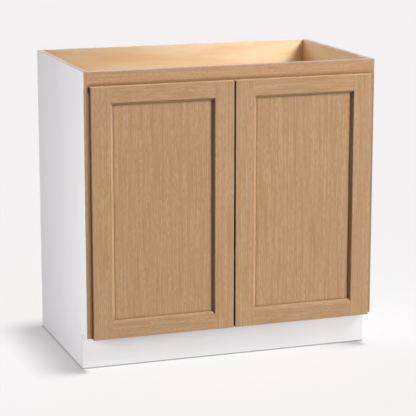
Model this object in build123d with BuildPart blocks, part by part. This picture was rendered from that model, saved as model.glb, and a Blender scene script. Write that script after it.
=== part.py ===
from build123d import *
import os

# Kitchen base cabinet: an open-topped box on a recessed toe kick, closed by two framed doors.
# Millimetres. X runs from left to right, Y from front to back and Z up from the floor.
# The origin is the middle of the footprint. Handed pieces are drawn on the left and mirrored.

# Box
cabinet_width = 889.0
cabinet_height = 876.3
carcass_depth = 533.4  # front of the lipping to the back of the box
side_thickness = 16.0  # with its white facing
facing_thickness = 1.0
board_thickness = 16.0  # bottom, shelf and toe board
lipping_depth = 6.0  # solid oak on the front edges
back_thickness = 12.0
back_rebate = 10.0  # how far the back is let into each side
rail_thickness = 20.0  # with its oak facing
rail_overlap = 19.4  # part of the rail that the doors close against
rail_housing = 4.0  # how far the rail is let into each side

# Toe kick
toe_height = 104.0
toe_recess = 50.0
cover_thickness = 12.0

# Doors
door_thickness = 18.0
door_gap = 2.0  # behind a closed door
side_reveal = 15.0  # side of the box left bare beside a door
centre_gap = 4.0
top_reveal = 40.6
bottom_drop = 1.0  # how far the doors hang below the box
stile_flat = 58.0
rail_flat = 46.5
bevel_width = 8.0
bevel_depth = 7.0
bevel_step = 1.0  # from the foot of the bevel to the panel
panel_thickness = 6.0
groove_depth = 9.0
panel_play = 1.5  # room for the panel to move in its groove
panel_fit = 0.1
door_ease = 2.0  # rounding of the outer edges
bumper_radius = 4.0
bumper_play = 0.2
bumper_inset = 15.0

# Shelf
shelf_setback = 30.0
shelf_play = 1.0
pin_radius = 2.5
pin_depth = 9.0
pin_reach = 9.0
collar_radius = 4.0
collar_thickness = 0.8
pin_setback = 90.0
pin_pitch = 64.0
pin_rows = 5
hole_fit = 0.05

# Concealed hinges
hinge_inset = 100.0  # from the ends of the door
cup_radius = 17.5
cup_edge = 3.0  # wood left between the cup and the edge of the door
wood_under_cup = 4.5
cup_wall = 1.0
cup_fit = 0.1
flange_thickness = 1.5
flange_rim = 1.0
flange_length = 58.0
flange_width = 15.0
cup_screw_pitch = 45.0
cup_screw_offset = 9.5
hinge_pin_radius = 1.0
hinge_pin_fit = 0.05
knuckle_radius = 2.2
knuckle_clearance = 1.2  # to the floor of the cup
neck_width = 8.0
neck_thickness = 2.0
neck_clearance = 3.0  # to the edge of the open door
neck_bend = 2.0
running_gap = 0.3
saddle_height = 8.0
saddle_front = 20.0
saddle_back = 62.0
saddle_width = 12.0
plate_setback = 37.0
plate_thickness = 2.5
plate_depth = 18.0
plate_length = 48.0
plate_screw_pitch = 32.0
arm_screw_setback = 50.0

# Fastenings
countersink_angle = 90.0
dowel_radius = 4.0
dowel_length = 30.0
dowel_in_side = 10.0
dowel_in_housing = 8.0
dowel_pitch = 28.0  # two in each end of the rail
dowel_chamfer = 1.0
dowel_room = 1.0  # at the bottom of a dowel hole
bottom_dowels_across = 3
dowel_margin = 70.0
back_screw_rows = 5
back_screw_margin = 60.0
block_leg = 75.0
block_thickness = 18.0
block_drop = 30.0
worktop_hole_radius = 2.5
worktop_hole_inset = 24.0

# Planes and corners that the pieces share
half_width = cabinet_width / 2
stand_off = door_thickness + door_gap
total_depth = carcass_depth + stand_off
front_y = stand_off - total_depth / 2
back_y = total_depth / 2
core_x = facing_thickness - half_width
inner_x = side_thickness - half_width
panel_front = front_y + lipping_depth
rail_back = front_y + rail_thickness
rail_bottom = cabinet_height - top_reveal - rail_overlap
rail_end = inner_x - rail_housing
back_inner = back_y - back_thickness
back_end = inner_x - back_rebate
cover_front = front_y + toe_recess
cover_back = cover_front + cover_thickness
floor_top = toe_height + board_thickness
shelf_bottom = (floor_top + rail_bottom) / 2
shelf_front = front_y + shelf_setback
door_left = side_reveal - half_width
door_right = -centre_gap / 2
door_back = front_y - door_gap
door_front = door_back - door_thickness
door_bottom = toe_height - bottom_drop
door_top = cabinet_height - top_reveal
door_middle = (door_left + door_right) / 2
stile_width = stile_flat + bevel_width
rail_width = rail_flat + bevel_width
bevel_foot = door_front + bevel_depth
groove_front = bevel_foot + bevel_step
groove_back = groove_front + panel_thickness
cup_depth = door_thickness - wood_under_cup
cup_x = door_left + cup_edge + cup_radius
hollow_radius = cup_radius - cup_wall
knuckle_offset = (hollow_radius**2 - (neck_width / 2) ** 2) ** 0.5 - knuckle_radius - running_gap
hinge_x = cup_x - knuckle_offset
hinge_y = door_back - cup_depth + cup_wall + knuckle_clearance + knuckle_radius
hinge_levels = {"upper": door_top - hinge_inset, "lower": door_bottom + hinge_inset}

corner = (Align.MIN, Align.MIN, Align.MIN)
standing = (Align.CENTER, Align.CENTER, Align.MIN)
hanging = (Align.CENTER, Align.CENTER, Align.MAX)
pieces = {}


# Box between two opposite corners, added to the piece in hand or cut from it
def fill(low, high, mode=Mode.ADD):
    with Locations(low):
        Box(high[0] - low[0], high[1] - low[1], high[2] - low[2], align=corner, mode=mode)


# Planes on a face that looks along one direction, for holes and fastenings
def facing(points, direction):
    return [Plane(origin=point, z_dir=direction) for point in points]


# The same on the left and, mirrored, on the right
def both_sides(points, direction):
    mirrored = [(-x, y, z) for x, y, z in points]
    return facing(points, direction) + facing(mirrored, (-direction[0], direction[1], direction[2]))


# Evenly spaced values, the first and last included
def spread(first, last, count):
    return [first + (last - first) * step / (count - 1) for step in range(count)]


# Countersunk screw, its head flush with the XY plane
class Screw:
    def __init__(self, shank, head, length):
        self.shank = shank
        self.head = head
        self.length = length

    def solid(self):
        with BuildPart() as screw:
            with BuildSketch(Plane.XZ):
                with BuildLine():
                    Polyline(
                        (0, 0),
                        (self.head, 0),
                        (self.shank, self.shank - self.head),
                        (self.shank, self.shank - self.length),
                        (0, -self.length),
                        close=True,
                    )
                make_face()
            revolve(axis=Axis.Z)
            with BuildSketch():
                Rectangle(self.head, self.head / 4)
                Rectangle(self.head / 4, self.head)
            extrude(amount=(self.shank - self.head) / 2, mode=Mode.SUBTRACT)
        return screw.part

    def group(self, planes):
        one = self.solid()
        with BuildPart() as screws:
            with Locations(*planes):
                add(one)
        return screws.part

    def pilot(self, depth):
        Hole(self.shank + hole_fit, depth)

    def seat(self, depth):
        CounterSinkHole(self.shank + hole_fit, self.head + hole_fit, depth, countersink_angle)


back_screw = Screw(shank=1.8, head=3.6, length=35.0)
plate_screw = Screw(shank=2.4, head=4.0, length=13.0)
cup_screw = Screw(shank=1.7, head=2.8, length=12.0)
arm_screw = Screw(shank=2.0, head=3.6, length=7.0)

# Where the fastenings and shelf pins sit
pin_y = [front_y + pin_setback, back_inner - pin_setback]
pin_z = shelf_bottom - pin_radius
shelf_rows = [pin_z + pin_pitch * (row - (pin_rows - 1) / 2) for row in range(pin_rows)]
shelf_holes = facing([(inner_x, y, z) for y in pin_y for z in shelf_rows], (1, 0, 0))
shelf_pin_points = [(inner_x, y, pin_z) for y in pin_y]
dowel_y = spread(cover_back + dowel_margin, back_inner - dowel_margin, bottom_dowels_across)
dowel_z = toe_height + board_thickness / 2
bottom_dowel_points = [(inner_x, y, dowel_z) for y in dowel_y]
rail_y = (panel_front + rail_back) / 2
rail_z = [(rail_bottom + cabinet_height + shift) / 2 for shift in (-dowel_pitch, dowel_pitch)]
rail_dowel_points = [(rail_end, rail_y, z) for z in rail_z]
back_screw_z = spread(back_screw_margin, cabinet_height - back_screw_margin, back_screw_rows)
back_screw_x = inner_x - back_rebate / 2
back_screw_heads = both_sides([(back_screw_x, back_y, z) for z in back_screw_z], (0, 1, 0))
back_screw_pilots = facing([(back_screw_x, back_inner, z) for z in back_screw_z], (0, 1, 0))
plate_y = front_y + plate_setback
plate_face = inner_x + plate_thickness
plate_screw_heads = {
    level: facing(
        [(plate_face, plate_y, z + shift / 2) for shift in (-plate_screw_pitch, plate_screw_pitch)],
        (1, 0, 0),
    )
    for level, z in hinge_levels.items()
}
hinge_plate_heads = plate_screw_heads["upper"] + plate_screw_heads["lower"]

# Left side: ply core and oak lipping, with the white facing over both
with BuildPart() as side_panel:
    fill((core_x, panel_front, 0), (inner_x, back_y, cabinet_height))
    fill((core_x, panel_front, 0), (inner_x, cover_back, toe_height), Mode.SUBTRACT)
    fill((rail_end, panel_front, rail_bottom), (inner_x, rail_back, cabinet_height), Mode.SUBTRACT)
    fill((back_end, back_inner, 0), (inner_x, back_y, cabinet_height), Mode.SUBTRACT)
    with Locations(*shelf_holes):
        Hole(pin_radius + hole_fit, pin_depth)
    with Locations(*facing(bottom_dowel_points, (1, 0, 0))):
        Hole(dowel_radius + hole_fit, dowel_in_side)
    with Locations(*facing(rail_dowel_points, (1, 0, 0))):
        Hole(dowel_radius + hole_fit, dowel_in_housing)
    with Locations(*hinge_plate_heads):
        plate_screw.pilot(plate_screw.length)
    with Locations(*back_screw_pilots):
        back_screw.pilot(back_screw.length - back_thickness)
pieces["left_side_panel"] = side_panel.part

with BuildPart() as side_facing:
    fill((-half_width, front_y, 0), (core_x, back_y, cabinet_height))
    fill((-half_width, front_y, 0), (core_x, cover_back, toe_height), Mode.SUBTRACT)
pieces["left_side_facing"] = side_facing.part

with BuildPart() as side_lipping:
    fill((core_x, front_y, toe_height), (inner_x, panel_front, cabinet_height))
    fill((rail_end, front_y, rail_bottom), (inner_x, panel_front, cabinet_height), Mode.SUBTRACT)
pieces["left_side_lipping"] = side_lipping.part

# Corner block behind the rail, drilled for a worktop screw
block_top = cabinet_height - block_drop
with BuildPart() as corner_block:
    with BuildSketch(Plane.XY.offset(block_top)):
        with BuildLine():
            Polyline(
                (inner_x, rail_back),
                (inner_x + block_leg, rail_back),
                (inner_x, rail_back + block_leg),
                close=True,
            )
        make_face()
    extrude(amount=-block_thickness)
    with Locations((inner_x + worktop_hole_inset, rail_back + worktop_hole_inset, block_top)):
        Hole(worktop_hole_radius, block_thickness)
pieces["left_corner_block"] = corner_block.part

# Pieces that run across the box
with BuildPart() as top_front_rail:
    fill((rail_end, front_y + facing_thickness, rail_bottom), (-rail_end, rail_back, cabinet_height))
    with Locations(*both_sides(rail_dowel_points, (-1, 0, 0))):
        Hole(dowel_radius + hole_fit, dowel_length - dowel_in_housing + dowel_room)
pieces["top_front_rail"] = top_front_rail.part

with BuildPart() as rail_facing:
    fill((rail_end, front_y, rail_bottom), (-rail_end, front_y + facing_thickness, cabinet_height))
pieces["top_rail_facing"] = rail_facing.part

with BuildPart() as bottom_panel:
    fill((inner_x, panel_front, toe_height), (-inner_x, back_inner, floor_top))
    with Locations(*both_sides(bottom_dowel_points, (-1, 0, 0))):
        Hole(dowel_radius + hole_fit, dowel_length - dowel_in_side + dowel_room)
pieces["bottom_panel"] = bottom_panel.part

with BuildPart() as bottom_lipping:
    fill((inner_x, front_y, toe_height), (-inner_x, panel_front, floor_top))
pieces["bottom_lipping"] = bottom_lipping.part

with BuildPart() as back_panel:
    fill((back_end, back_inner, 0), (-back_end, back_y, cabinet_height))
    with Locations(*back_screw_heads):
        back_screw.seat(back_thickness)
pieces["back_panel"] = back_panel.part

with BuildPart() as toe_board:
    fill((inner_x, cover_back, 0), (-inner_x, cover_back + board_thickness, toe_height))
pieces["toe_board"] = toe_board.part

with BuildPart() as toe_kick_cover:
    fill((-half_width, cover_front, 0), (half_width, cover_back, toe_height))
pieces["toe_kick_cover"] = toe_kick_cover.part

# Adjustable shelf on four pins
shelf_end = inner_x + shelf_play
shelf_top = shelf_bottom + board_thickness
with BuildPart() as shelf:
    fill(
        (shelf_end, shelf_front + lipping_depth, shelf_bottom),
        (-shelf_end, back_inner - shelf_play, shelf_top),
    )
pieces["shelf"] = shelf.part

with BuildPart() as shelf_lipping:
    fill((shelf_end, shelf_front, shelf_bottom), (-shelf_end, shelf_front + lipping_depth, shelf_top))
pieces["shelf_lipping"] = shelf_lipping.part

with BuildPart() as shelf_pins:
    with Locations(*both_sides(shelf_pin_points, (1, 0, 0))):
        Cylinder(collar_radius, collar_thickness, align=standing)
        Cylinder(pin_radius, pin_reach, align=standing)
        Cylinder(pin_radius, pin_depth, align=hanging)
pieces["shelf_pins"] = shelf_pins.part


# Dowels with chamfered ends, each let into the side by the given depth
def dowels(points, depth):
    with BuildPart() as dowel:
        with Locations((0, 0, -depth)):
            Cylinder(dowel_radius, dowel_length, align=standing)
        chamfer(dowel.edges().filter_by(GeomType.CIRCLE), dowel_chamfer)
    with BuildPart() as group:
        with Locations(*both_sides(points, (1, 0, 0))):
            add(dowel.part)
    return group.part


pieces["bottom_dowels"] = dowels(bottom_dowel_points, dowel_in_side)
pieces["rail_dowels"] = dowels(rail_dowel_points, dowel_in_housing)
pieces["back_screws"] = back_screw.group(back_screw_heads)

# Left door: two stiles, two rails coped over them and a loose panel
cup_seats = facing([(cup_x, door_back, z) for z in hinge_levels.values()], (0, 1, 0))
cup_screw_x = cup_x + cup_screw_offset
cup_screw_z = [z + shift / 2 for z in hinge_levels.values() for shift in (-cup_screw_pitch, cup_screw_pitch)]
cup_screw_pilots = facing([(cup_screw_x, door_back, z) for z in cup_screw_z], (0, 1, 0))

with BuildPart() as door_block:
    fill((door_left, door_front, door_bottom), (door_right, door_back, door_top))
    fillet(door_block.edges(), door_ease)

with BuildPart() as plain_stile:
    with BuildSketch(Plane.XY.offset(door_bottom)):
        with BuildLine():
            Polyline(
                (door_left, door_back),
                (door_left, door_front),
                (door_left + stile_flat, door_front),
                (door_left + stile_width, bevel_foot),
                (door_left + stile_width, groove_front),
                (door_left + stile_width - groove_depth, groove_front),
                (door_left + stile_width - groove_depth, groove_back),
                (door_left + stile_width, groove_back),
                (door_left + stile_width, door_back),
                close=True,
            )
        make_face()
    extrude(amount=door_top - door_bottom)
    add(door_block.part, mode=Mode.INTERSECT)

with BuildPart() as hinge_stile:
    add(plain_stile.part)
    with Locations(*cup_seats):
        Hole(cup_radius + cup_fit, cup_depth + cup_fit)
    with Locations(*cup_screw_pilots):
        cup_screw.pilot(cup_screw.length - flange_thickness)
pieces["left_door_hinge_stile"] = hinge_stile.part

with BuildPart() as meeting_stile:
    mirror(plain_stile.part, about=Plane.YZ.offset(door_middle))
pieces["left_door_meeting_stile"] = meeting_stile.part

with BuildPart() as bottom_rail:
    with BuildSketch(Plane.YZ.offset(door_left + stile_flat)):
        with BuildLine():
            Polyline(
                (door_back, door_bottom),
                (door_front, door_bottom),
                (door_front, door_bottom + rail_flat),
                (bevel_foot, door_bottom + rail_width),
                (groove_front, door_bottom + rail_width),
                (groove_front, door_bottom + rail_width - groove_depth),
                (groove_back, door_bottom + rail_width - groove_depth),
                (groove_back, door_bottom + rail_width),
                (door_back, door_bottom + rail_width),
                close=True,
            )
        make_face()
    extrude(amount=door_right - door_left - 2 * stile_flat)
    add(door_block.part, mode=Mode.INTERSECT)
    add(plain_stile.part, mode=Mode.SUBTRACT)
    add(meeting_stile.part, mode=Mode.SUBTRACT)
pieces["left_door_bottom_rail"] = bottom_rail.part

with BuildPart() as top_rail:
    mirror(bottom_rail.part, about=Plane.XY.offset((door_bottom + door_top) / 2))
pieces["left_door_top_rail"] = top_rail.part

panel_side = stile_width - groove_depth + panel_play
panel_end = rail_width - groove_depth + panel_play
with BuildPart() as door_panel:
    fill(
        (door_left + panel_side, groove_front + panel_fit, door_bottom + panel_end),
        (door_right - panel_side, groove_back - panel_fit, door_top - panel_end),
    )
pieces["left_door_panel"] = door_panel.part

bumper_x = door_right - bumper_inset
bumper_z = [(rail_bottom + door_top) / 2, (toe_height + floor_top) / 2]
with BuildPart() as bumpers:
    with Locations(*facing([(bumper_x, door_back, z) for z in bumper_z], (0, 1, 0))):
        Cylinder(bumper_radius, door_gap - bumper_play, align=standing)
pieces["left_door_bumpers"] = bumpers.part

# Hinges: the cup turns on a pin that the cranked arm holds
saddle_top = inner_x + saddle_height
neck_reach = door_back - hinge_y + flange_thickness + neck_clearance + neck_thickness / 2
neck_dip = knuckle_radius + knuckle_clearance - neck_thickness / 2 - running_gap
pin_chord = (cup_radius**2 - (cup_x - hinge_x + hinge_pin_radius) ** 2) ** 0.5
strap_x = saddle_top + neck_thickness / 2
strap_face = saddle_top + neck_thickness
arm_screw_y = front_y + arm_screw_setback

for level, z in hinge_levels.items():
    cup_face = Plane(origin=(cup_x, door_back, z), x_dir=(1, 0, 0), z_dir=(0, 1, 0))
    with BuildPart() as cup:
        with BuildSketch(cup_face):
            Circle(cup_radius)
        extrude(amount=-cup_depth)
        with BuildSketch(cup_face):
            Circle(cup_radius + flange_rim)
            with Locations((cup_screw_offset, 0)):
                SlotOverall(flange_length, flange_width, rotation=90)
        extrude(amount=flange_thickness)
        with BuildSketch(cup_face.offset(flange_thickness)):
            Circle(hollow_radius)
        extrude(amount=cup_wall - cup_depth - flange_thickness, mode=Mode.SUBTRACT)
        with Locations((hinge_x, hinge_y, z)):
            Cylinder(hinge_pin_radius + hole_fit, 2 * cup_radius, mode=Mode.SUBTRACT)
        with Locations(cup_face.offset(flange_thickness)):
            with Locations((cup_screw_offset, -cup_screw_pitch / 2), (cup_screw_offset, cup_screw_pitch / 2)):
                cup_screw.seat(flange_thickness)
    pieces[f"left_{level}_hinge_cup"] = cup.part

    with BuildPart() as pin:
        with Locations((hinge_x, hinge_y, z)):
            Cylinder(hinge_pin_radius, 2 * pin_chord - running_gap)
    pieces[f"left_{level}_hinge_pin"] = pin.part

    arm_screw_head = Plane(origin=(strap_face, arm_screw_y, z), z_dir=(1, 0, 0))
    with BuildPart() as arm:
        with BuildSketch(Plane.XY.offset(z - neck_width / 2)):
            with BuildLine():
                FilletPolyline(
                    (hinge_x, hinge_y),
                    (hinge_x + neck_reach, hinge_y - neck_dip),
                    (hinge_x + neck_reach, front_y + saddle_front / 2),
                    (strap_x, front_y + saddle_front),
                    (strap_x, front_y + saddle_back),
                    radius=neck_bend,
                )
            trace(line_width=neck_thickness)
            with Locations((hinge_x, hinge_y)):
                Circle(knuckle_radius)
                Circle(hinge_pin_radius + hinge_pin_fit, mode=Mode.SUBTRACT)
        extrude(amount=neck_width)
        fill(
            (saddle_top, front_y + saddle_front, z - saddle_width / 2),
            (strap_face, front_y + saddle_back, z + saddle_width / 2),
        )
        with Locations(arm_screw_head):
            arm_screw.seat(neck_thickness)
    pieces[f"left_{level}_hinge_arm"] = arm.part

    with BuildPart() as plate:
        fill(
            (inner_x, front_y + saddle_front, z - saddle_width / 2),
            (saddle_top, front_y + saddle_back, z + saddle_width / 2),
        )
        with BuildSketch(Plane(origin=(inner_x, plate_y, z), x_dir=(0, 1, 0), z_dir=(1, 0, 0))):
            SlotOverall(plate_length, plate_depth, rotation=90)
        extrude(amount=plate_thickness)
        with Locations(*plate_screw_heads[level]):
            plate_screw.seat(plate_thickness)
        with Locations(arm_screw_head.offset(-neck_thickness)):
            arm_screw.pilot(arm_screw.length - neck_thickness)
    pieces[f"left_{level}_hinge_plate"] = plate.part

cup_screw_heads = [plane.offset(flange_thickness) for plane in cup_screw_pilots]
pieces["left_cup_screws"] = cup_screw.group(cup_screw_heads)
pieces["left_plate_screws"] = plate_screw.group(hinge_plate_heads)
arm_screw_points = [(strap_face, arm_screw_y, z) for z in hinge_levels.values()]
pieces["left_arm_screws"] = arm_screw.group(facing(arm_screw_points, (1, 0, 0)))

# Right-hand pieces
for name in [name for name in pieces if name.startswith("left_")]:
    pieces[name.replace("left_", "right_", 1)] = mirror(pieces[name], about=Plane.YZ)

os.makedirs("parts", exist_ok=True)
for name, piece in pieces.items():
    piece.label = name
    export_step(piece, f"parts/{name}.step")
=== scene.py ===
import math

import bpy
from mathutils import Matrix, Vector

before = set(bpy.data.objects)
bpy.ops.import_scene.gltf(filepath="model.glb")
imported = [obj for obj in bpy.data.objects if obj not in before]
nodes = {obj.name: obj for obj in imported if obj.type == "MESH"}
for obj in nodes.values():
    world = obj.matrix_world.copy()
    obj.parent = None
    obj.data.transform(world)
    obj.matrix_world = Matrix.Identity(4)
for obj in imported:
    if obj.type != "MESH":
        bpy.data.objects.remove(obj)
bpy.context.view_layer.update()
scene = bpy.context.scene
print("frame loaded:", len(nodes), "pieces")


def linear(hexColour):  # sRGB hex to the linear colour that sockets take
    channels = [int(hexColour[i:i + 2], 16) / 255 for i in (1, 3, 5)]
    return [c / 12.92 if c <= 0.04045 else ((c + 0.055) / 1.055) ** 2.4 for c in channels] + [1.0]


mixColour = {"out": 2, "data_type": "RGBA"}  # sockets 0, 6 and 7 of a Mix are then its share and two colours


def addNode(tree, kind, inputs=(), out=0, **settings):  # one node with its settings and links
    node = tree.nodes.new("ShaderNode" + kind)
    for key, value in settings.items():
        setattr(node, key, value)
    for key, value in dict(inputs).items():
        if isinstance(value, bpy.types.NodeSocket):
            tree.links.new(value, node.inputs[key])
        else:
            node.inputs[key].default_value = value
    return node.outputs[out] if node.outputs else None


def newTree(name):
    material = bpy.data.materials.new(name)
    material.use_nodes = True
    material.node_tree.nodes.clear()
    return material, material.node_tree


def fibres(tree, grain, acrossMm, alongMm, seed, low=0.3, high=0.7, detail=1.0):
    # streaks of a real size in millimetres, long along the grain axis, as a 0 to 1 pattern
    place = addNode(tree, "TexCoord", out="Object")
    scale = [1000 / (alongMm if axis == grain else acrossMm) for axis in "XYZ"]
    shift = [seed * 3.1, seed * 5.7, seed * 9.3]  # each piece takes another part of the pattern
    laid = addNode(tree, "Mapping", {"Vector": place, "Scale": scale, "Location": shift})
    noise = addNode(tree, "TexNoise", {"Vector": laid, "Scale": 1.0, "Detail": detail}, out="Fac")
    return addNode(tree, "MapRange", {"Value": noise, "From Min": low, "From Max": high},
                   interpolation_type="SMOOTHSTEP")


# Rift-cut oak, sanded and matt lacquered: straight fine lines close together, short dark pores between
# paler long streaks, and no cathedral figure. Real pores are about 0.3 mm wide, and are drawn coarser here.
riftOak = {
    "body": "#c49d75",
    "layers": [  # sizes across and along the grain
        {"tone": "#c89c71", "mm": (6, 70), "range": (0.30, 0.70), "seed": 60},  # warm blush
        {"tone": "#cda988", "mm": (2.8, 1500), "range": (0.34, 0.66), "seed": 0},  # pale long streaks
        {"tone": "#b88d5f", "mm": (2.8, 160), "range": (0.40, 0.78), "seed": 20},  # darker lines
        {"tone": "#ba9167", "mm": (2.4, 16), "range": (0.38, 0.78), "seed": 40},  # pores
    ],
    "railShare": 0.5, "poreDepthMm": 0.1, "poreBump": 0.6,
    # painted shade for inside corners: its colour, the openness where it starts and where it is full, and the
    # upward tilt where it stops
    "paintedShade": "#4a331d", "paintedShadeStart": 0.99, "paintedShadeFull": 0.68, "unshadedTop": 0.5,
    "roughness": 0.55, "ior": 1.5, "sheen": 0.3,
}


def makeRiftOak(grain, seed, corner, reach):
    material, tree = newTree(f"riftOakMattLacquered{grain}{seed:02d}")
    share = riftOak["railShare"] if grain == "X" else 1.0  # rails show a shorter figure than the rest
    tone = linear(riftOak["body"])
    for layer in riftOak["layers"]:
        across, along = layer["mm"]
        pattern = fibres(tree, grain, across, along * share, seed + layer["seed"], *layer["range"])
        tone = addNode(tree, "Mix", {0: pattern, 6: tone, 7: linear(layer["tone"])}, **mixColour)
    if corner:  # painted shade darkens the inside corners, within a reach in millimetres
        openness = addNode(tree, "AmbientOcclusion", {"Distance": reach / 1000}, "AO", samples=8)
        shade = addNode(tree, "MapRange", {"Value": openness, "From Min": riftOak["paintedShadeStart"],
                                           "From Max": riftOak["paintedShadeFull"], "To Max": corner})
        up = addNode(tree, "SeparateXYZ", {0: addNode(tree, "TexCoord", out="Normal")}, "Z")
        up = addNode(tree, "MapRange", {"Value": up, "From Max": riftOak["unshadedTop"],
                                        "To Min": 1.0, "To Max": 0.0})  # faces that look up get no painted shade
        shade = addNode(tree, "Math", {0: shade, 1: up}, operation="MULTIPLY")
        tone = addNode(tree, "Mix", {0: shade, 6: tone, 7: linear(riftOak["paintedShade"])}, **mixColour)
    # the last layer, the pores, is also sunk a little
    dents = addNode(tree, "Bump", {"Height": pattern, "Distance": riftOak["poreDepthMm"] / 1000,
                                   "Strength": riftOak["poreBump"]}, invert=True)
    surface = addNode(tree, "BsdfPrincipled", {"Base Color": tone, "Normal": dents, "IOR": riftOak["ior"],
                                               "Roughness": riftOak["roughness"],
                                               "Specular IOR Level": riftOak["sheen"]})
    addNode(tree, "OutputMaterial", {"Surface": surface})
    return material


# Birch plywood, satin lacquered on its faces: pale cream with faint long figure and small flecks.
# The sawn edges are raw, so they look greyish pink with the plies as thin lines.
birchPly = {
    "face": "#eed7b4", "figure": "#e7c599", "fleck": "#dfbd8f", "edge": "#e4d1c4", "glueLine": "#c9b2a4",
    "figureMm": (34, 300), "figureRange": (0.35, 0.68), "fleckMm": (5, 45), "fleckRange": (0.56, 0.86),
    "fleckDepthMm": 0.06, "fleckBump": 0.5, "plyMm": 2.6, "roughness": 0.42, "ior": 1.5, "sheen": 0.3,
}


def makeBirchPly(grain, thickness, seed):
    material, tree = newTree(f"birchPlySatinLacquered{grain}{seed:02d}")
    figure = fibres(tree, grain, *birchPly["figureMm"], seed, *birchPly["figureRange"], detail=3.0)
    fleck = fibres(tree, grain, *birchPly["fleckMm"], seed + 20, *birchPly["fleckRange"], detail=2.0)
    face = addNode(tree, "Mix", {0: figure, 6: linear(birchPly["face"]), 7: linear(birchPly["figure"])},
                   **mixColour)
    face = addNode(tree, "Mix", {0: fleck, 6: face, 7: linear(birchPly["fleck"])}, **mixColour)
    # plies lie across the board's thickness and show only on faces that don't look along it
    depth = addNode(tree, "SeparateXYZ", {0: addNode(tree, "TexCoord", out="Object")}, thickness)
    layer = addNode(tree, "Math", {0: depth, 1: birchPly["plyMm"] / 1000}, operation="PINGPONG")
    layer = addNode(tree, "MapRange", {"Value": layer, "From Max": birchPly["plyMm"] / 1000})
    edge = addNode(tree, "Mix", {0: layer, 6: linear(birchPly["edge"]), 7: linear(birchPly["glueLine"])},
                   **mixColour)
    faceOn = addNode(tree, "SeparateXYZ", {0: addNode(tree, "TexCoord", out="Normal")}, thickness)
    faceOn = addNode(tree, "Math", {0: faceOn}, operation="ABSOLUTE")
    faceOn = addNode(tree, "Math", {0: faceOn, 1: 0.5}, operation="GREATER_THAN")
    tone = addNode(tree, "Mix", {0: faceOn, 6: edge, 7: face}, **mixColour)
    dents = addNode(tree, "Bump", {"Height": fleck, "Distance": birchPly["fleckDepthMm"] / 1000,
                                   "Strength": birchPly["fleckBump"]}, invert=True)
    surface = addNode(tree, "BsdfPrincipled", {"Base Color": tone, "Normal": dents, "IOR": birchPly["ior"],
                                               "Roughness": birchPly["roughness"],
                                               "Specular IOR Level": birchPly["sheen"]})
    addNode(tree, "OutputMaterial", {"Surface": surface})
    return material


# White melamine laminate, pressed against a fine matt plate: an even white with a very soft sheen.
# The lower edge, where it stands on the floor, is painted grey for a few millimetres as a contact shadow,
# darker on the recessed toe cover.
whiteLaminate = {
    "body": "#f2f0f2", "cloud": "#efedef", "sideFoot": "#bcbabb", "toeFoot": "#9c9a9b", "footMm": 3.5,
    "cloudMm": (130, 390), "gritMm": (1.2, 1.2), "gritDepthMm": 0.04, "gritBump": 0.3, "seed": 41,
    "roughness": (0.44, 0.56), "ior": 1.5, "sheen": 0.35,
}


def makeWhiteLaminate(part):
    material, tree = newTree(f"whiteMelaminePressed{part.title()}")
    cloud = fibres(tree, "Z", *whiteLaminate["cloudMm"], whiteLaminate["seed"])
    grit = fibres(tree, "Z", *whiteLaminate["gritMm"], whiteLaminate["seed"] + 1)
    tone = addNode(tree, "Mix", {0: cloud, 6: linear(whiteLaminate["body"]),
                                 7: linear(whiteLaminate["cloud"])}, **mixColour)
    # painted contact shadow: the colour turns grey within a few millimetres of the floor
    height = addNode(tree, "SeparateXYZ", {0: addNode(tree, "TexCoord", out="Object")}, "Z")
    footTop = whiteLaminate["footMm"] / 1000
    footShade = addNode(tree, "MapRange", {"Value": height, "From Min": footTop, "From Max": footTop / 2})
    tone = addNode(tree, "Mix", {0: footShade, 6: tone, 7: linear(whiteLaminate[part + "Foot"])}, **mixColour)
    rough = addNode(tree, "MapRange", {"Value": grit, "To Min": whiteLaminate["roughness"][0],
                                       "To Max": whiteLaminate["roughness"][1]})
    dents = addNode(tree, "Bump", {"Height": grit, "Distance": whiteLaminate["gritDepthMm"] / 1000,
                                   "Strength": whiteLaminate["gritBump"]})
    surface = addNode(tree, "BsdfPrincipled", {"Base Color": tone, "Normal": dents, "Roughness": rough,
                                               "IOR": whiteLaminate["ior"],
                                               "Specular IOR Level": whiteLaminate["sheen"]})
    addNode(tree, "OutputMaterial", {"Surface": surface})
    return material


# Nickel-plated steel, pressed: bright warm grey, with faint drawing lines and an uneven polish.
nickelSteel = {
    "body": "#d2cec7", "cloud": "#b8b3ab", "cloudMm": (12, 12), "cloudRange": (0.35, 0.65),
    "lineMm": (0.6, 10), "lineDepthMm": 0.02, "lineBump": 0.3, "seed": 51, "roughness": (0.2, 0.36),
}


def makeNickelSteel():
    material, tree = newTree("nickelPlatedSteelPressed")
    line = fibres(tree, "Y", *nickelSteel["lineMm"], nickelSteel["seed"])
    cloud = fibres(tree, "Y", *nickelSteel["cloudMm"], nickelSteel["seed"] + 1, *nickelSteel["cloudRange"])
    tone = addNode(tree, "Mix", {0: cloud, 6: linear(nickelSteel["body"]), 7: linear(nickelSteel["cloud"])},
                   **mixColour)
    rough = addNode(tree, "MapRange", {"Value": line, "To Min": nickelSteel["roughness"][0],
                                       "To Max": nickelSteel["roughness"][1]})
    dents = addNode(tree, "Bump", {"Height": line, "Distance": nickelSteel["lineDepthMm"] / 1000,
                                   "Strength": nickelSteel["lineBump"]})
    surface = addNode(tree, "BsdfPrincipled", {"Base Color": tone, "Normal": dents, "Roughness": rough,
                                               "Metallic": 1.0})
    addNode(tree, "OutputMaterial", {"Surface": surface})
    return material


# Beech, turned to dowels: pinkish brown with short darker ray flecks.
beech = {
    "body": "#dab78e", "ray": "#b98e62", "rayMm": (0.9, 7), "rayRange": (0.5, 0.75), "rayDepthMm": 0.05,
    "rayBump": 0.4, "seed": 61, "roughness": 0.6, "ior": 1.5,
}


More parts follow.
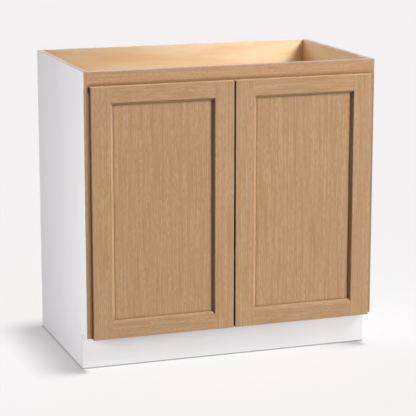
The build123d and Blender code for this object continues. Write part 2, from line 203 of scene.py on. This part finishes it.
def makeBeech():
    material, tree = newTree("beechTurned")
    ray = fibres(tree, "X", *beech["rayMm"], beech["seed"], *beech["rayRange"])
    tone = addNode(tree, "Mix", {0: ray, 6: linear(beech["body"]), 7: linear(beech["ray"])}, **mixColour)
    dents = addNode(tree, "Bump", {"Height": ray, "Distance": beech["rayDepthMm"] / 1000,
                                   "Strength": beech["rayBump"]}, invert=True)
    surface = addNode(tree, "BsdfPrincipled", {"Base Color": tone, "Normal": dents, "IOR": beech["ior"],
                                               "Roughness": beech["roughness"]})
    addNode(tree, "OutputMaterial", {"Surface": surface})
    return material


# Polyurethane bumper, moulded: soft, milky and faintly yellow, with a smooth gloss.
softBumper = {
    "body": "#e6e5de", "haze": "#d6d4c9", "hazeMm": (3, 3), "seed": 71, "roughness": 0.28, "ior": 1.49,
    "milk": 0.2, "milkMm": (4, 4, 3),
}


def makeSoftBumper():
    material, tree = newTree("polyurethaneMoulded")
    haze = fibres(tree, "Z", *softBumper["hazeMm"], softBumper["seed"])
    tone = addNode(tree, "Mix", {0: haze, 6: linear(softBumper["body"]), 7: linear(softBumper["haze"])},
                   **mixColour)
    depths = [mm / 1000 for mm in softBumper["milkMm"]]  # how deep red, green and blue light goes
    surface = addNode(tree, "BsdfPrincipled", {"Base Color": tone, "Roughness": softBumper["roughness"],
                                               "IOR": softBumper["ior"], "Subsurface Radius": depths,
                                               "Subsurface Weight": softBumper["milk"]})
    addNode(tree, "OutputMaterial", {"Surface": surface})
    return material


def dress(material, *names):
    for name in names:
        data = nodes[name].data
        data.materials.clear()
        data.materials.append(material)


# grain runs up the stiles, panels and side edgings, and along the rails
# each piece has its grain, how dark the painted shade in its corners is, and how far that reaches in
# millimetres
doorOak = {"hinge_stile": ("Z", 1.0, 25), "meeting_stile": ("Z", 1.0, 25), "panel": ("Z", 1.0, 9),
           "top_rail": ("X", 0.4, 25), "bottom_rail": ("X", 0.4, 25)}
carcassOak = {"left_side_lipping": ("Z", 0.5, 9), "right_side_lipping": ("Z", 0.75, 20),
              "top_rail_facing": ("X", 0.6, 14), "bottom_lipping": ("X", 0, 0), "shelf_lipping": ("X", 0, 0)}
oakPieces = {f"{side}_door_{part}": look for side in ("left", "right") for part, look in doorOak.items()}
oakPieces.update(carcassOak)
for seed, (name, (grain, corner, reach)) in enumerate(oakPieces.items(), 1):
    dress(makeRiftOak(grain, seed, corner, reach), name)

# boards: which way the face grain runs, and the axis that the thickness lies along
birchBoards = {
    "left_side_panel": ("Y", "X"), "right_side_panel": ("Y", "X"), "back_panel": ("X", "Y"),
    "bottom_panel": ("X", "Z"), "shelf": ("X", "Z"), "toe_board": ("X", "Y"), "top_front_rail": ("X", "Y"),
    "left_corner_block": ("X", "Z"), "right_corner_block": ("X", "Z"),
}
for seed, (name, (grain, thickness)) in enumerate(birchBoards.items(), 1):
    dress(makeBirchPly(grain, thickness, seed), name)

dress(makeWhiteLaminate("side"), "left_side_facing", "right_side_facing")
dress(makeWhiteLaminate("toe"), "toe_kick_cover")
dress(makeBeech(), "bottom_dowels", "rail_dowels")
dress(makeSoftBumper(), "left_door_bumpers", "right_door_bumpers")
metalPieces = ["shelf_pins"] + [name for name in nodes if name.endswith("_screws") or "er_hinge_" in name]
dress(makeNickelSteel(), *metalPieces)
print("materials:", len(bpy.data.materials))

# plain studio: pale paper floor and soft light, strongest from the front and the upper right
studio = {
    "paper": "#f6f3f4", "bounce": 0.10, "shade": "#d0cdce", "shadowShare": 0.56, "size": 60.0, "dropMm": 0.2,
    "contact": "#b6b3b4", "contactMm": 16, "contactFull": 0.5, "contactPower": 2.5, "sky": 0.04,
}


def seenDirectly(tree):  # 1 where the camera sees a thing itself, in a mirror or through glass
    seen = addNode(tree, "LightPath", out="Is Camera Ray")
    for ray in ("Is Glossy Ray", "Is Transmission Ray"):
        seen = addNode(tree, "Math", {0: seen, 1: addNode(tree, "LightPath", out=ray)}, operation="MAXIMUM")
    return seen


def makeFloor():
    half, drop = studio["size"] / 2, studio["dropMm"] / 1000
    corners = [(x * half, y * half, -drop) for x, y in ((-1, -1), (1, -1), (1, 1), (-1, 1))]
    mesh = bpy.data.meshes.new("paperFloor")
    mesh.from_pydata(corners, [], [(0, 1, 2, 3)])
    floor = bpy.data.objects.new("paperFloor", mesh)
    scene.collection.objects.link(floor)
    material, tree = newTree("studioPaperRolled")
    seen = seenDirectly(tree)
    grey = [studio["bounce"]] * 3 + [1.0]  # the floor throws little light back on the cabinet
    tone = addNode(tree, "Mix", {0: seen, 6: grey, 7: linear(studio["shade"])}, **mixColour)
    openness = addNode(tree, "AmbientOcclusion", {"Distance": studio["contactMm"] / 1000}, "AO", samples=16)
    closed = addNode(tree, "MapRange", {"Value": openness, "From Min": 1.0,
                                        "From Max": studio["contactFull"]})
    closed = addNode(tree, "Math", {0: closed, 1: studio["contactPower"]}, operation="POWER")
    # painted contact shadow: a thin darker line where the boards meet the paper
    tone = addNode(tree, "Mix", {0: closed, 6: tone, 7: linear(studio["contact"])}, **mixColour)
    pale = addNode(tree, "Mix", {0: closed, 6: linear(studio["paper"]), 7: linear(studio["contact"])},
                   **mixColour)
    matt = addNode(tree, "BsdfDiffuse", {"Color": tone})
    plain = addNode(tree, "Emission", {"Color": pale, "Strength": 1.0})
    share = addNode(tree, "Math", {0: seen, 1: 1 - studio["shadowShare"]}, operation="MULTIPLY")
    addNode(tree, "OutputMaterial", {"Surface": addNode(tree, "MixShader", {0: share, 1: matt, 2: plain})})
    mesh.materials.append(material)
    return floor


def makeSky():
    world = bpy.data.worlds.new("studioSky")
    scene.world = world
    world.use_nodes = True
    tree = world.node_tree
    tree.nodes.clear()
    light = addNode(tree, "Background", {"Color": [1.0, 1.0, 1.0, 1.0], "Strength": studio["sky"]})
    pale = addNode(tree, "Background", {"Color": linear(studio["paper"]), "Strength": 1.0})
    mixed = addNode(tree, "MixShader", {0: seenDirectly(tree), 1: light, 2: pale})
    addNode(tree, "OutputWorld", {"Surface": mixed})


# groups of pieces that a lamp can light or be blocked by
pieces = list(nodes.values())
boards = [nodes[name] for name in birchBoards]
sides = [nodes["left_side_facing"], nodes["right_side_facing"]]
toe = [nodes["toe_kick_cover"]]
edgings = [nodes["left_side_lipping"]]
crested = ("_stile", "_top_rail", "_facing", "_lipping")  # oak whose upper edge shows
members = {
    "floor": [makeFloor()], "cabinet": pieces, "boards": boards, "sides": sides, "toe": toe,
    "edgings": edgings,
    "faces": [piece for piece in pieces if piece not in boards + edgings + toe],
    "crests": [nodes[name] for name in oakPieces if name.endswith(crested)],
    "insides": [nodes[name] for name in ("back_panel", "bottom_panel", "shelf")],
    "whites": sides + toe,
    "woods": [piece for piece in pieces if piece not in sides + toe],
    "doors": [nodes[name] for name in oakPieces if "_door_" in name],
    "rightDoor": [nodes[name] for name in oakPieces if name.startswith("right_door")],
    "footing": sides + toe + [nodes[name] for name in ("left_side_panel", "right_side_panel", "back_panel")],
}
groups = {}
for name, group in members.items():
    groups[name] = bpy.data.collections.new(name)
    for piece in group:
        groups[name].objects.link(piece)

# suns have a share of full white and an angle in degrees
# boxes have watts, a size in metres and sometimes a narrower beam in degrees
lamps = [
    {"name": "floorSun", "lights": "floor", "blockedBy": "footing", "share": 1.22, "from": (0.11, -0.03, 1.0),
     "angle": 10.0},
    {"name": "floorFill", "lights": "floor", "share": 0.18, "from": (0.1, -0.3, 1.0), "angle": 60.0},
    {"name": "keySun", "lights": "cabinet", "share": 0.234, "from": (0.5, -0.7, 0.9), "angle": 20.0},
    {"name": "topSun", "lights": "crests", "share": 0.52, "from": (0.0, -0.05, 1.0), "angle": 15.0},
    {"name": "boardSun", "lights": "boards", "share": 0.31, "from": (0.22, -0.22, 1.0), "angle": 25.0},
    {"name": "backSun", "lights": "woods", "share": 0.56, "from": (-0.62, 1.0, 0.55), "angle": 40.0},
    {"name": "leftSun", "lights": "whites", "share": 0.25, "from": (-1.0, 0.05, 0.1), "angle": 20.0},
    {"name": "doorSun", "lights": "rightDoor", "blockedBy": "doors", "share": 0.5, "from": (-0.7, 0.65, 0.3),
     "angle": 6.0},  # reaches the inside of the right door when it stands open
    {"name": "frontBox", "lights": "faces", "watts": 1530.0, "at": (9.4, -7.5, 3.4),
     "aim": (0.0, -0.27, 0.45), "size": 3.2},
    {"name": "roomBox", "lights": "boards", "watts": 110.0, "at": (1.2, -5.5, 0.4),
     "aim": (0.0, 0.2, 0.45), "size": 0.8},
    {"name": "insideBox", "lights": "insides", "watts": 3.2, "at": (0.95, -0.40, 1.55),
     "aim": (0.15, 0.26, 0.90), "size": 0.4, "beam": 70.0},
    {"name": "sideBox", "lights": "sides", "watts": 21.6, "at": (-1.55, -1.35, 0.40),
     "aim": (-0.45, -0.1, 0.4), "size": 0.8},
    {"name": "toeSideBox", "lights": "toe", "watts": 21.0, "at": (-1.55, -1.35, 0.64),
     "aim": (-0.45, -0.1, 0.4), "size": 0.7},
    {"name": "toeBox", "lights": "toe", "watts": 27.0, "at": (1.4, -1.9, 0.36),
     "aim": (0.0, -0.2, 0.05), "size": 0.6},
    {"name": "edgeBox", "lights": "edgings", "blockedBy": "boards", "watts": 20.5, "at": (-1.0, -1.9, 0.8),
     "aim": (0.0, -0.25, 0.5), "size": 0.8},
]
for lamp in lamps:
    isSun = "share" in lamp
    data = bpy.data.lights.new(lamp["name"], "SUN" if isSun else "AREA")
    holder = bpy.data.objects.new(lamp["name"], data)
    place, target = Vector(lamp["from"] if isSun else lamp["at"]), Vector((0, 0, 0) if isSun else lamp["aim"])
    holder.location = place
    holder.rotation_euler = (target - place).to_track_quat("-Z", "Y").to_euler()
    if isSun:
        data.energy, data.angle = math.pi * lamp["share"], math.radians(lamp["angle"])
    else:
        data.energy, data.size = lamp["watts"], lamp["size"]
        data.spread = math.radians(lamp.get("beam", 180.0))
    holder.visible_camera = False
    holder.light_linking.receiver_collection = groups[lamp["lights"]]  # lights only its group's pieces
    if "blockedBy" in lamp:
        holder.light_linking.blocker_collection = groups[lamp["blockedBy"]]
    scene.collection.objects.link(holder)
makeSky()
print("lamps:", len(lamps))

# camera at the photograph's angle: left of the middle, looking a little down
view = {"place": (-1.7091, -4.9466, 1.5421), "turn": 19.202, "tilt": 12.248, "lens": 151.65, "sensor": 36.0}
cameraData = bpy.data.cameras.new("camera")
cameraData.lens = view["lens"]
cameraData.sensor_width = view["sensor"]
camera = bpy.data.objects.new("camera", cameraData)
camera.location = view["place"]
camera.rotation_euler = (math.radians(90 - view["tilt"]), 0, math.radians(-view["turn"]))
scene.collection.objects.link(camera)
scene.camera = camera
scene.view_settings.view_transform = "Standard"
print("studio and camera ready")
